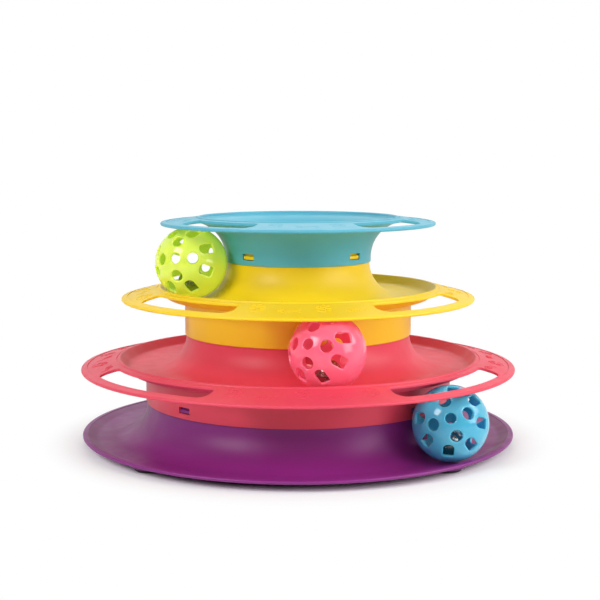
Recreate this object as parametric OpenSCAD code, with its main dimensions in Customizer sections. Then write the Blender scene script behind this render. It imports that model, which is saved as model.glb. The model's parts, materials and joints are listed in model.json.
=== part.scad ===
// Cat ball track toy: a base and three snap-on tiers, with a bell ball caught in each track.
// The origin is the middle of the bottom, on the ground. +Z is up and the front is -Y.
// Angles round the toy are counted from the front, towards +X.

/* [Tiers across] */
// Outside diameter of the lower tier's skirt
lower_skirt_d = 176.4; // [172:0.4:180]
// Outside diameter of the middle tier's skirt
middle_skirt_d = 130.8; // [127:0.4:134]
// Outside diameter of the top tier's skirt
top_skirt_d = 84; // [81:0.5:86]
// Diameter of the top tier's lip, at its crest
top_lip_d = 114.4; // [113:0.2:117]
// Width of a track, from the neck to the crest of its lip
channel_w = 38.6; // [38:0.2:42]
// Width of the middle and top brims, from the crest of the lip to the edge
brim_w = 21.8; // [20:0.2:24]
// Width of the base, from the neck to the edge
base_w = 37.3; // [36.5:0.1:39]
// How far the lower tier's edge stands out past the base's
edge_proud = 0.3; // [0:0.1:1]
// How far a skirt stands proud of the neck below it
skirt_step = 0.8; // [0.5:0.1:1.2]

/* [Tiers in height] */
// Height of the base's neck above its floor
base_neck_h = 20.1; // [18.6:0.1:20.4]
// Height of the lower tier's neck above its floor
lower_neck_h = 18.6; // [17.6:0.1:20.2]
// Height of the middle tier's neck above its floor
middle_neck_h = 19.8; // [18.6:0.1:20.2]
// Height of a lip above its track's floor
lip_h = 5.7; // [4.8:0.1:6.4]
// Fall of the lower tier's brim, from lip to edge
lower_brim_fall = 5.5; // [4:0.1:6.5]
// Fall of the middle tier's brim
middle_brim_fall = 6; // [4:0.1:6.5]
// Fall of the top tier's brim
top_brim_fall = 3.1; // [2.5:0.1:5]
// Height of the base's upturned edge above its floor
base_edge_h = 2.5; // [1.8:0.1:3]

/* [Walls and edges] */
// Thickness of the necks, floors and skirts
wall = 1.6; // [1.4:0.1:2]
// Thickness of the brims
brim_wall = 1.5; // [1.2:0.1:1.8]
// Height of the bead on a lip, and of the band along an edge, above the brim
bead_h = 0.3; // [0.2:0.05:0.5]
// Radius of a lip's crest
crest_r = 1.2; // [0.9:0.1:1.5]
// Width of the band along an edge
band_w = 3.5; // [3:0.1:4.5]
// Radius of the bend between a track's floor and its lip
bend_r = 5; // [4:0.25:6]
// Slope of the rise to a lip, in degrees
rise_angle = 50; // [42:1:56]

/* [Hand slots] */
// Number of slots in each brim
slot_count = 4; // [3:1:4]
// Half the angle that a slot spans, in degrees
slot_half_angle = 20.2; // [16:0.2:24]
// Distance of a slot from its lip's crest
slot_from_lip = 4; // [3.6:0.1:5]
// Distance of a slot from the brim's edge
slot_from_edge = 5.7; // [4.8:0.1:6]
// Radius of a slot's corners on the side of the edge
slot_outer_round = 4; // [3:0.1:5]
// Radius of a slot's corners on the side of the lip
slot_inner_round = 0.8; // [0.5:0.1:2]

/* [How the tiers are turned] */
// Turn of the lower tier on the base, in degrees
lower_turn = 1.2; // [-5:0.1:5]
// Turn of the middle tier
middle_turn = 2.8; // [-5:0.1:5]
// Turn of the top tier
top_turn = 4; // [-5:0.1:5]

/* [Snap fits] */
// Height of the ring on each neck that the next skirt goes over
spigot_h = 9; // [8:0.25:10]
// Radial gap between that ring and the skirt
fit_gap = 0.2; // [0.15:0.05:0.3]
// Width of a snap window
window_w = 8.3; // [7.5:0.1:9.5]
// Height of a snap window
window_h = 3.6; // [3.2:0.1:4.2]
// Height of a window's middle above the skirt's edge
window_z = 4.7; // [4.2:0.1:5.4]
// Gap round a lug in its window
lug_gap = 0.5; // [0.3:0.05:0.7]

/* [Feet] */
// Diameter of a foot pad
foot_d = 18.4; // [16:0.2:20]
// Height of a foot pad
foot_h = 2.2; // [1.8:0.1:3]
// Distance of a foot's middle from the base's edge
foot_inset = 15.5; // [15:0.1:17]
// Gap between a foot pad and its socket
foot_gap = 0.2; // [0.1:0.05:0.3]

/* [Balls] */
// Diameter of a ball
ball_d = 40.6; // [39:0.2:41.6]
// Thickness of a ball's shell
shell_wall = 1.5; // [1.2:0.1:1.8]
// Gap under a ball
ball_gap = 0.3; // [0.2:0.05:0.5]
// Gap between a ball and the skirt beside it
side_gap = 1.5; // [1:0.1:2]
// Gap between the lowest ball and the brim above it
lower_head_gap = 0.38; // [0.3:0.02:1]
// Gap between the middle ball and the brim above it
middle_head_gap = 0.44; // [0.3:0.02:1]
// Gap between the highest ball and the brim above it
top_head_gap = 1.8; // [1.5:0.1:3]
// Diameter of the hole at each pole of a ball
pole_hole_d = 5.6; // [4.8:0.1:6.4]
// Diameter of the holes round a pole
round_hole_d = 6.4; // [5.6:0.1:7]
// Width of an arched window in a ball
arch_w = 5.6; // [4.8:0.1:6]
// Height of an arched window in a ball
arch_h = 8.6; // [7.5:0.1:9]
// Width of the bevel round a ball's holes
hole_bevel = 0.6; // [0.3:0.05:0.8]

/* [Bells] */
// Diameter of a bell
bell_d = 15; // [13:0.25:17]
// Thickness of a bell's metal
bell_wall = 0.6; // [0.4:0.05:0.8]
// Width of the crimped rim round a bell
crimp_w = 0.7; // [0.5:0.05:1]
// Gap between a bell and its ball, and between a pellet and its bell
bell_gap = 0.3; // [0.2:0.05:0.4]
// Diameter of a bell's pellet
pellet_d = 4.4; // [3.6:0.2:5.4]

/* [Rest places] */
// Angle of the highest ball round the toy, in degrees
green_angle = -70; // [-90:1:90]
// Angle of the middle ball
pink_angle = 10; // [-90:1:90]
// Angle of the lowest ball
blue_angle = 47; // [-90:1:90]

/* [Hidden] */
$fn = 96;

// Extra length of a cutting shape past what it cuts
over = 1;
// Steps in a quarter turn of an outline, in each long arc of a hand slot's outline, and in its corners
quarter_steps = 20;
slot_steps = 20;
corner_steps = 6;

// Radii of the skirts, the necks inside them and the rings that the skirts go over
lower_skirt_r = lower_skirt_d / 2;
middle_skirt_r = middle_skirt_d / 2;
top_skirt_r = top_skirt_d / 2;
base_neck_r = lower_skirt_r - skirt_step;
lower_neck_r = middle_skirt_r - skirt_step;
middle_neck_r = top_skirt_r - skirt_step;
base_r = base_neck_r + base_w;

// Balls, and the radius that each one's middle runs on
ball_r = ball_d / 2;
ball_run = ball_r + skirt_step + side_gap;
blue_run_r = base_neck_r + ball_run;
pink_run_r = lower_neck_r + ball_run;
green_run_r = middle_neck_r + ball_run;

// Lips, and the edges of their brims
lower_lip_r = lower_neck_r + channel_w;
lower_edge_r = base_r + edge_proud;
middle_lip_r = middle_neck_r + channel_w;
middle_edge_r = middle_lip_r + brim_w;
top_lip_r = top_lip_d / 2;
top_edge_r = top_lip_r + brim_w;

// Radius of the middle of the bend that turns a track's floor up to its lip
bend_up = bend_r * (1 - cos(rise_angle));
crest_up = crest_r * (1 - cos(rise_angle));
bend_back = (crest_r + bend_r) * sin(rise_angle) + (lip_h - crest_up - bend_up) / tan(rise_angle);

// Heights: each lip stands where its brim, its bend and its floor clear the ball below
function brim_slope(lip_r, edge, fall) = fall / (edge - lip_r);
function brim_clear_z(middle_z, run_r, lip_r, edge, fall, gap) =
    let (slope = brim_slope(lip_r, edge, fall), lean = atan(slope))
    middle_z + (ball_r + gap + brim_wall) / cos(lean) + bead_h + slope * (run_r - lip_r);
function bend_clear_z(middle_z, run_r, lip_r, gap) =
    let (reach = ball_r + gap + bend_r + wall, across = max(0, run_r - lip_r + bend_back))
    middle_z + sqrt(max(0, pow(reach, 2) - pow(across, 2))) - bend_r + lip_h;
function lip_over(middle_z, run_r, lip_r, edge, fall, gap) =
    max(brim_clear_z(middle_z, run_r, lip_r, edge, fall, gap), bend_clear_z(middle_z, run_r, lip_r, gap));
base_floor_z = foot_h + wall;
base_shoulder_z = base_floor_z + base_neck_h;
blue_z = base_floor_z + ball_gap + ball_r;
lower_lip_z = lip_over(blue_z, blue_run_r, lower_lip_r, lower_edge_r, lower_brim_fall, lower_head_gap);
lower_floor_z = lower_lip_z - lip_h;
lower_shoulder_z = lower_floor_z + lower_neck_h;
pink_z = lower_floor_z + ball_gap + ball_r;
middle_lip_z = lip_over(pink_z, pink_run_r, middle_lip_r, middle_edge_r, middle_brim_fall, middle_head_gap);
middle_floor_z = middle_lip_z - lip_h;
middle_shoulder_z = middle_floor_z + middle_neck_h;
green_z = middle_floor_z + ball_gap + ball_r;
top_lip_z = brim_clear_z(green_z, green_run_r, top_lip_r, top_edge_r, top_brim_fall, top_head_gap);

// Small sizes of the tiers
spigot_root = 3;
skirt_chamfer = 0.35;
edge_r = 0.95;
band_step = 0.5;
crest_end_angle = 50;
lug_set_back = 0.5;
lug_ramp = 1.1;

// Base: the bend that turns its floor up to the edge
base_bend_r = 6;
base_rise_angle = 28;
base_edge_z = base_floor_z + base_edge_h;
base_bend_rise = base_bend_r * (1 - cos(base_rise_angle));
base_bend_run = (base_edge_h - base_bend_rise) / tan(base_rise_angle) + base_bend_r * sin(base_rise_angle);
base_bend = [base_r - band_w - base_bend_run, base_floor_z + base_bend_r];
base_neck = [base_neck_r + base_neck_h, base_shoulder_z];

// Top tier: a short straight skirt, the flare above it and the floor of its dish
top_straight_h = 2.5;
top_lip_rise = 2.5;
top_join = 3.3;
top_inner_bevel = 1.1;
top_straight_z = middle_shoulder_z + top_straight_h;
flare_r = top_lip_z - top_lip_rise - top_straight_z;
flare = [top_skirt_r + flare_r, top_straight_z];
dish_gap = 0.8;
dish_t = 1.8;
dish_z = middle_shoulder_z + spigot_h + dish_gap;
dish_r = flare[0] - sqrt(pow(flare_r + wall / 2, 2) - pow(dish_z - top_straight_z, 2));

// Small sizes of the feet and their sockets
socket_wall = 1.4;
socket_lip = 1;
foot_round = 0.7;

// Small sizes of the balls: the lap where the halves meet, and where the holes lie
lap_h = 1.2;
lap_t = 0.7;
lap_gap = 0.1;
round_hole_angle = 28.5;
arch_angle = 53.8;
arch_turn = 22.5;

// Bells: the drop from a ball's middle to its bell's, and the small sizes of the slots and the loop
bell_r = bell_d / 2;
bell_drop = ball_r - shell_wall - bell_gap - bell_r;
bell_slot_w = 1.3;
bell_slot_end_d = 2.6;
bell_slot_reach = 4;
small_fn = 32;
loop_r = 1.5;
loop_wire_r = 0.4;
loop_sink = 0.5;

// How each ball is turned at rest: its pole's angle round the toy, its rise, its spin,
// and how far its back half was turned when the halves were joined
green_turn = [-21.6, 12.2, 3.4, 35];
pink_turn = [-32.8, 19.7, 1, 57];
blue_turn = [-6.8, 19.7, 19.3, 67.5];

// Points of an arc, from one angle to another, in as many steps as it needs or is given
function arc(middle, r, from, to, given_steps = 0) =
    let (steps = given_steps > 0 ? given_steps : max(2, ceil(abs(to - from) / 90 * quarter_steps)))
    [for (i = [0:steps]) let (a = from + (to - from) * i / steps)
        [middle[0] + r * cos(a), middle[1] + r * sin(a)]];

// The same points in the other order
function reversed(points) = [for (i = [len(points) - 1:-1:0]) points[i]];

// Radius where a rising line and a falling line meet
function meet_r(rise_point, rise, fall_point, fall) =
    (fall_point[1] + fall * fall_point[0] - rise_point[1] + rise * rise_point[0]) / (rise + fall);

// Top of a brim, from just outside the lip's crest to the edge, and the edge's round
function brim_top(lip_r, lip_z, edge, fall) =
    let (slope = brim_slope(lip_r, edge, fall), lean = atan(slope),
         plane = function (r) lip_z - bead_h - slope * (r - lip_r),
         edge_top = plane(edge - edge_r) + bead_h)
    concat(arc([lip_r, lip_z - crest_r], crest_r, 90, crest_end_angle),
           [[lip_r + crest_r + bead_h, plane(lip_r + crest_r + bead_h)],
            [edge - band_w - band_step, plane(edge - band_w - band_step)],
            [edge - band_w, plane(edge - band_w) + bead_h]],
           arc([edge - edge_r, edge_top - edge_r], edge_r, 90 - lean, -90));

// Height of a brim's underside at a radius
function brim_under(r, lip_r, lip_z, edge, fall) =
    let (slope = brim_slope(lip_r, edge, fall))
    lip_z - bead_h - slope * (r - lip_r) - brim_wall / cos(atan(slope));

// Cross-section of a track with its lip and brim
module track_outline(neck_r, floor_z, neck_h, lip_r, lip_z, edge, fall) {
    rise = tan(rise_angle);
    crest = [lip_r, lip_z - crest_r];
    bend = [lip_r - bend_back, floor_z + bend_r];
    under_end = bend + (bend_r + wall) * [sin(rise_angle), -cos(rise_angle)];
    under_edge_r = edge - band_w;
    under_edge = [under_edge_r, brim_under(under_edge_r, lip_r, lip_z, edge, fall)];
    corner_r = meet_r(under_end, rise, under_edge, brim_slope(lip_r, edge, fall));
    neck = [neck_r + neck_h, floor_z + neck_h];
    polygon(concat(
        arc(neck, neck_h, 180, 270),
        arc(bend, bend_r, 270, 270 + rise_angle),
        arc(crest, crest_r, 90 + rise_angle, 90),
        brim_top(lip_r, lip_z, edge, fall),
        [under_edge, [corner_r, brim_under(corner_r, lip_r, lip_z, edge, fall)]],
        arc(bend, bend_r + wall, 270 + rise_angle, 270),
        arc(neck, neck_h + wall, 270, 180)));
}

// Cross-section of a skirt that hangs from a floor
module skirt_outline(skirt_r, bottom_z, floor_z) {
    polygon([[skirt_r - wall, bottom_z], [skirt_r - skirt_chamfer, bottom_z],
             [skirt_r, bottom_z + skirt_chamfer], [skirt_r, floor_z - wall / 2],
             [skirt_r - wall, floor_z - wall / 2]]);
}

// Ring on a neck, with its shoulder, that the next tier's skirt sits on and goes over
module spigot(neck_r, next_skirt_r, shoulder_z) {
    outer_r = next_skirt_r - wall - fit_gap;
    rotate_extrude()
        polygon([[outer_r - wall, shoulder_z - spigot_root], [neck_r - wall / 2, shoulder_z - spigot_root],
                 [neck_r, shoulder_z], [outer_r, shoulder_z],
                 [outer_r, shoulder_z + spigot_h - skirt_chamfer],
                 [outer_r - skirt_chamfer, shoulder_z + spigot_h],
                 [outer_r - wall, shoulder_z + spigot_h]]);
}

// Snap lugs that stand out of that ring into the windows of the skirt
module lugs(next_skirt_r, shoulder_z, first_angle) {
    root_r = next_skirt_r - wall - fit_gap - wall / 2;
    tip_r = next_skirt_r - lug_set_back;
    low = shoulder_z + window_z - window_h / 2 + lug_gap;
    high = low + window_h - 2 * lug_gap;
    for (a = [0:90:270])
        rotate([0, 0, first_angle + a])
            rotate([90, 0, 0])
                linear_extrude(window_w - 2 * lug_gap, center = true)
                    polygon([[root_r, low], [tip_r, low], [tip_r, high - lug_ramp], [root_r, high]]);
}

// Cuts for the snap windows of a skirt
module windows(skirt_r, bottom_z, first_angle) {
    for (a = [0:90:270])
        rotate([0, 0, first_angle + a])
            translate([skirt_r - wall / 2, 0, bottom_z + window_z])
                cube([2 * wall + over, window_w, window_h], center = true);
}

// Outline of a hand slot: two arcs round the toy's middle and straight ends, with round corners
function slot_outline(inner_r, outer_r) =
    let (half = slot_half_angle, outer_mid = outer_r - slot_outer_round, inner_mid = inner_r + slot_inner_round,
         outer_turn = half - asin(slot_outer_round / outer_mid),
         inner_turn = half - asin(slot_inner_round / inner_mid))
    concat(arc([0, 0], outer_r, -outer_turn, outer_turn, slot_steps),
           arc(outer_mid * [cos(outer_turn), sin(outer_turn)], slot_outer_round,
               outer_turn, half + 90, corner_steps),
           arc(inner_mid * [cos(inner_turn), sin(inner_turn)], slot_inner_round,
               half + 90, inner_turn + 180, corner_steps),
           arc([0, 0], inner_r, inner_turn, -inner_turn, slot_steps),
           arc(inner_mid * [cos(inner_turn), -sin(inner_turn)], slot_inner_round,
               180 - inner_turn, 270 - half, corner_steps),
           arc(outer_mid * [cos(outer_turn), -sin(outer_turn)], slot_outer_round,
               270 - half, 360 - outer_turn, corner_steps));

// Cuts for the hand slots of a brim
module slots(lip_r, lip_z, edge, fall, turn) {
    low = lip_z - fall - 2 * brim_wall;
    for (i = [0:slot_count - 1])
        rotate([0, 0, turn + 360 / slot_count * (i + 0.5)])
            translate([0, 0, low])
                linear_extrude(lip_z - low + over)
                    polygon(slot_outline(lip_r + slot_from_lip, edge - slot_from_edge));
}

// A whole middle storey: skirt, track, brim with slots, and the ring on its neck
module storey(skirt_r, skirt_z, neck_r, neck_h, lip_r, lip_z, edge, fall,
              next_skirt_r, turn, window_angle, lug_angle) {
    floor_z = lip_z - lip_h;
    difference() {
        union() {
            rotate_extrude() track_outline(neck_r, floor_z, neck_h, lip_r, lip_z, edge, fall);
            rotate_extrude() skirt_outline(skirt_r, skirt_z, floor_z);
        }
        slots(lip_r, lip_z, edge, fall, turn);
        windows(skirt_r, skirt_z, turn + window_angle);
    }
    spigot(neck_r, next_skirt_r, floor_z + neck_h);
    lugs(next_skirt_r, floor_z + neck_h, lug_angle);
}

// Top of the base, from the neck to the upturned edge
base_top = concat(arc(base_neck, base_neck_h, 180, 270),
                  arc(base_bend, base_bend_r, 270, 270 + base_rise_angle),
                  [[base_r - band_w, base_edge_z]],
                  arc([base_r - edge_r, base_edge_z - edge_r], edge_r, 90, -90));

module base_outline() {
    polygon(concat(base_top,
                   [[base_r - band_w, base_edge_z - wall]],
                   arc(base_bend, base_bend_r + wall, 270 + base_rise_angle, 270),
                   arc(base_neck, base_neck_h + wall, 270, 180)));
}

// Cross-section of the open space over the base
module over_base_outline() {
    polygon(concat(base_top,
                   [[base_r + over, base_floor_z], [base_r + over, base_shoulder_z + over],
                    [base_neck_r, base_shoulder_z + over]]));
}

// Moves a thing from the middle of the ground to where a foot stands
module at_feet(x_side, y_side) {
    rotate([0, 0, atan2(y_side, x_side)])
        translate([base_r - foot_inset, 0, 0])
            children();
}

// Boss over a foot pad, with the lip that locates the pad
module foot_socket() {
    socket_r = foot_d / 2 + foot_gap + socket_wall;
    difference() {
        translate([0, 0, foot_h - socket_lip])
            cylinder(h = socket_lip + 2 * wall, r = socket_r);
        translate([0, 0, foot_h - socket_lip - over])
            cylinder(h = socket_lip + over, r = foot_d / 2 + foot_gap);
    }
}

module base_tier() {
    color("#7a2a78") {
        difference() {
            union() {
                rotate_extrude() base_outline();
                for (x = [-1, 1], y = [-1, 1]) at_feet(x, y) foot_socket();
            }
            rotate_extrude() over_base_outline();
        }
        spigot(base_neck_r, lower_skirt_r, base_shoulder_z);
        lugs(lower_skirt_r, base_shoulder_z, lower_turn + 45);
    }
}

module lower_tier() {
    color("#e8506c")
        storey(lower_skirt_r, base_shoulder_z, lower_neck_r, lower_neck_h, lower_lip_r, lower_lip_z,
               lower_edge_r, lower_brim_fall, middle_skirt_r, lower_turn, 45, middle_turn);
}

module middle_tier() {
    color("#f2cc28")
        storey(middle_skirt_r, lower_shoulder_z, middle_neck_r, middle_neck_h, middle_lip_r, middle_lip_z,
               middle_edge_r, middle_brim_fall, top_skirt_r, middle_turn, 0, top_turn + 45);
}

// Cross-section of the top tier: skirt, flare, brim and lip
module top_outline() {
    join_angle = acos((top_lip_r + top_join - flare[0]) / flare_r);
    inner_angle = acos((top_lip_r - crest_r - top_inner_bevel - flare[0]) / (flare_r + wall));
    under_edge_r = top_edge_r - band_w;
    polygon(concat(
        [[top_skirt_r - skirt_chamfer, middle_shoulder_z], [top_skirt_r, middle_shoulder_z + skirt_chamfer]],
        arc(flare, flare_r, 180, join_angle),
        [[under_edge_r, brim_under(under_edge_r, top_lip_r, top_lip_z, top_edge_r, top_brim_fall)]],
        reversed(brim_top(top_lip_r, top_lip_z, top_edge_r, top_brim_fall)),
        arc([top_lip_r, top_lip_z - crest_r], crest_r, 90, 180),
        arc(flare, flare_r + wall, inner_angle, 180),
        [[top_skirt_r - wall, middle_shoulder_z]]));
}

module top_tier() {
    color("#62b9d2") {
        difference() {
            rotate_extrude() top_outline();
            slots(top_lip_r, top_lip_z, top_edge_r, top_brim_fall, top_turn);
            windows(top_skirt_r, middle_shoulder_z, top_turn + 45);
        }
        translate([0, 0, dish_z])
            cylinder(h = dish_t, r = dish_r);
    }
}

module foot() {
    color("#151515")
        rotate_extrude()
            polygon(concat([[0, 0]], arc([foot_d / 2 - foot_round, foot_round], foot_round, 270, 360),
                           [[foot_d / 2, foot_h], [0, foot_h]]));
}

module foot_front_left() { at_feet(-1, -1) foot(); }
module foot_front_right() { at_feet(1, -1) foot(); }
module foot_back_left() { at_feet(-1, 1) foot(); }
module foot_back_right() { at_feet(1, 1) foot(); }

// Moves a thing from the middle of a ball to where that ball rests
module at_ball(angle, run_r, z) {
    translate([run_r * sin(angle), -run_r * cos(angle), z])
        children();
}

// Turns a thing made with its pole up to the way that a ball lies
module turned(turn) {
    rotate([0, 0, turn[0]])
        rotate([90 - turn[1], 0, 0])
            rotate([0, 0, turn[2]])
                children();
}

// A round hole through the shell, bevelled on the outside
module shell_hole(d) {
    cylinder(h = ball_r + over, d = d);
    translate([0, 0, sqrt(pow(ball_r, 2) - pow(d / 2 + hole_bevel, 2)) - hole_bevel])
        cylinder(h = hole_bevel + over, d1 = d, d2 = d + 2 * (hole_bevel + over));
}

// An arched window through the shell, its flat side towards the seam
module shell_arch() {
    linear_extrude(ball_r + over) {
        translate([-arch_h / 2 + arch_w / 2, 0])
            circle(d = arch_w);
        translate([-arch_h / 2 + arch_w / 2, -arch_w / 2])
            square([arch_h - arch_w / 2, arch_w]);
    }
}

// Half of a ball, pole up, with the holes in rings round its pole
module half_shell(tongue) {
    inner_r = ball_r - shell_wall;
    lap_r = inner_r + lap_t;
    difference() {
        sphere(r = ball_r);
        sphere(r = inner_r);
        translate([0, 0, -(ball_r + over) / 2])
            cube([2 * (ball_r + over), 2 * (ball_r + over), ball_r + over], center = true);
        shell_hole(pole_hole_d);
        for (a = [0:90:270])
            rotate([0, 0, a]) rotate([0, round_hole_angle, 0]) shell_hole(round_hole_d);
        for (a = [0:45:315])
            rotate([0, 0, a + arch_turn]) rotate([0, arch_angle, 0]) shell_arch();
        if (!tongue)
            cylinder(h = lap_h + lap_gap, r = lap_r + lap_gap);
    }
    if (tongue)
        translate([0, 0, -lap_h])
            difference() {
                cylinder(h = 2 * lap_h, r = lap_r);
                translate([0, 0, -over])
                    cylinder(h = 2 * (lap_h + over), r = inner_r);
            }
}

module front_shell(turn) { turned(turn) half_shell(true); }
module back_shell(turn) { turned(turn) rotate([180, 0, 0]) rotate([0, 0, turn[3]]) half_shell(false); }

// Upper half of a bell with its crimped rim, made round the bell's own middle
module bell_dome() {
    difference() {
        union() {
            sphere(r = bell_r);
            cylinder(h = bell_wall, r = bell_r + crimp_w);
        }
        sphere(r = bell_r - bell_wall);
        translate([0, 0, -(bell_r + over) / 2])
            cube([2 * (bell_r + over), 2 * (bell_r + over), bell_r + over], center = true);
    }
}

module bell_upper() {
    color("#c9c9c4") {
        bell_dome();
        translate([0, 0, bell_r + loop_r - loop_sink])
            rotate([90, 0, 0])
                rotate_extrude()
                    translate([loop_r, 0])
                        circle(r = loop_wire_r, $fn = small_fn);
    }
}

// Lower half, with two crossed slots that end in round holes
module bell_lower() {
    slot_h = bell_r + over - 2 * bell_wall;
    color("#c9c9c4")
        difference() {
            rotate([180, 0, 0]) bell_dome();
            for (a = [0, 90])
                rotate([0, 0, a])
                    translate([0, 0, -bell_r - over]) {
                        translate([-bell_slot_reach, -bell_slot_w / 2, 0])
                            cube([2 * bell_slot_reach, bell_slot_w, slot_h]);
                        for (side = [-1, 1])
                            translate([side * bell_slot_reach, 0, 0])
                                cylinder(h = slot_h, d = bell_slot_end_d, $fn = small_fn);
                    }
        }
}

module pellet() {
    color("#8f8f8c")
        translate([0, 0, -bell_r + bell_wall + bell_gap + pellet_d / 2])
            sphere(d = pellet_d);
}

module at_green() { at_ball(green_angle, green_run_r, green_z) children(); }
module at_pink() { at_ball(pink_angle, pink_run_r, pink_z) children(); }
module at_blue() { at_ball(blue_angle, blue_run_r, blue_z) children(); }

module green_ball_front_shell() { color("#c8dc3c") at_green() front_shell(green_turn); }
module green_ball_back_shell() { color("#c8dc3c") at_green() back_shell(green_turn); }
module green_bell_top() { at_green() translate([0, 0, -bell_drop]) bell_upper(); }
module green_bell_bottom() { at_green() translate([0, 0, -bell_drop]) bell_lower(); }
module green_bell_pellet() { at_green() translate([0, 0, -bell_drop]) pellet(); }

module pink_ball_front_shell() { color("#ff5c84") at_pink() front_shell(pink_turn); }
module pink_ball_back_shell() { color("#ff5c84") at_pink() back_shell(pink_turn); }
module pink_bell_top() { at_pink() translate([0, 0, -bell_drop]) bell_upper(); }
module pink_bell_bottom() { at_pink() translate([0, 0, -bell_drop]) bell_lower(); }
module pink_bell_pellet() { at_pink() translate([0, 0, -bell_drop]) pellet(); }

module blue_ball_front_shell() { color("#55b4cf") at_blue() front_shell(blue_turn); }
module blue_ball_back_shell() { color("#55b4cf") at_blue() back_shell(blue_turn); }
module blue_bell_top() { at_blue() translate([0, 0, -bell_drop]) bell_upper(); }
module blue_bell_bottom() { at_blue() translate([0, 0, -bell_drop]) bell_lower(); }
module blue_bell_pellet() { at_blue() translate([0, 0, -bell_drop]) pellet(); }

base_tier();
lower_tier();
middle_tier();
top_tier();
foot_front_left();
foot_front_right();
foot_back_left();
foot_back_right();
green_ball_front_shell();
green_ball_back_shell();
green_bell_top();
green_bell_bottom();
green_bell_pellet();
pink_ball_front_shell();
pink_ball_back_shell();
pink_bell_top();
pink_bell_bottom();
pink_bell_pellet();
blue_ball_front_shell();
blue_ball_back_shell();
blue_bell_top();
blue_bell_bottom();
blue_bell_pellet();
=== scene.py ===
"""Cat ball track toy: the looks of its tiers, foot pads, balls and bells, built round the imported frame.

Sizes are in millimetres, as on a drawing, and angles in degrees. They become metres and radians
where a mesh is made. Angles round the toy are counted from the front, -Y, towards +X.
"""

from __future__ import annotations

import json
import logging
import math
from dataclasses import dataclass, field
from enum import Enum
from typing import Callable

import bpy
from mathutils import Matrix, Vector

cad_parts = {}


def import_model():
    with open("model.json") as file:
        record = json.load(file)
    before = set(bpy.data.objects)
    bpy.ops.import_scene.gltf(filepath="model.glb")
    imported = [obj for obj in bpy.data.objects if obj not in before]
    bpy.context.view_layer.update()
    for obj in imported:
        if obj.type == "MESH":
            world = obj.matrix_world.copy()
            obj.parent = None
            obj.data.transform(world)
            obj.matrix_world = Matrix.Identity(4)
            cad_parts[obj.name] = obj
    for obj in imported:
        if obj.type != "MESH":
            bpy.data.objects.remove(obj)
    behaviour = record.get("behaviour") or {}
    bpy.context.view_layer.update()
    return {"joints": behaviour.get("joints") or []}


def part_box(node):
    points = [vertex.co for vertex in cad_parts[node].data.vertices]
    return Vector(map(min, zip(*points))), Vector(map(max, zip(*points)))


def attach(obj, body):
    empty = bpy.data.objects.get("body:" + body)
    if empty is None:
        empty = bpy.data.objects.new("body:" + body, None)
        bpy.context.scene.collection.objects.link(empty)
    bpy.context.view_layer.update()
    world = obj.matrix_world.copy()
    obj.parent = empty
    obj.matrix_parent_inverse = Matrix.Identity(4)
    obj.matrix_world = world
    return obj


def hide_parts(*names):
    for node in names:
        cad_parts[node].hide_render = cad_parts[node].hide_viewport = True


LOG = logging.getLogger("track_toy")

MM = 0.001
FULL_TURN = 2 * math.pi
QUARTER = 90
EIGHTH = 45
QUARTERS = [QUARTER * i for i in range(4)]
SAME_PLACE = 0.002
UP = Vector((0, 0, 1))
WHITE = (1, 1, 1, 1)

Point = tuple[float, float]
Loop = list[Vector]
Stroke = tuple[list[Point], bool]
Surface = Callable[[Vector], float]
Thing = bpy.types.Object
Socket = bpy.types.NodeSocket
Inputs = dict[str | int, object]
Range = tuple[float, float]
Noise = tuple[float, float]
Bump = tuple[float, float, float, float]


class Slot(Enum):
    """Material slots of the record, which the tiers, balls and bells are listed with."""

    PURPLE = "purple_plastic"
    RED = "red_plastic"
    YELLOW = "yellow_plastic"
    TEAL = "teal_plastic"
    GREEN_BALL = "green_ball_plastic"
    PINK_BALL = "pink_ball_plastic"
    BLUE_BALL = "blue_ball_plastic"
    BELL = "bell_metal"
    PELLET = "pellet_steel"
    RUBBER = "black_rubber"


class Join(Enum):
    """Ways to combine two solids."""

    CUT = "DIFFERENCE"
    ADD = "UNION"


class Body(Enum):
    """The body that stands still. Each ball and bell has a body of its own name."""

    TOWER = "tower"


def arc(middle: Point, radius: float, start: float, end: float, step: float = 4.5) -> list[Point]:
    """Points of an arc.

    Args:
        middle: Centre of the arc.
        radius: Its radius.
        start: Angle of the first point.
        end: Angle of the last point.
        step: Largest angle from one point to the next.

    Returns:
        The points, both ends included.
    """
    count = max(2, math.ceil(abs(end - start) / step))
    angles = [math.radians(start + (end - start) * i / count) for i in range(count + 1)]
    return [(middle[0] + radius * math.cos(a), middle[1] + radius * math.sin(a)) for a in angles]


def metres(x: float, y: float, z: float) -> Vector:
    """A place or size given in millimetres."""
    return Vector((x, y, z)) * MM


def around(angle: float, radius: float, height: float) -> Vector:
    """The place at an angle round the toy."""
    turn = math.radians(angle)
    return metres(radius * math.sin(turn), -radius * math.cos(turn), height)


def turned_z(angle: float) -> Matrix:
    """A turn about the vertical axis."""
    return Matrix.Rotation(math.radians(angle), 4, "Z")


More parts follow.
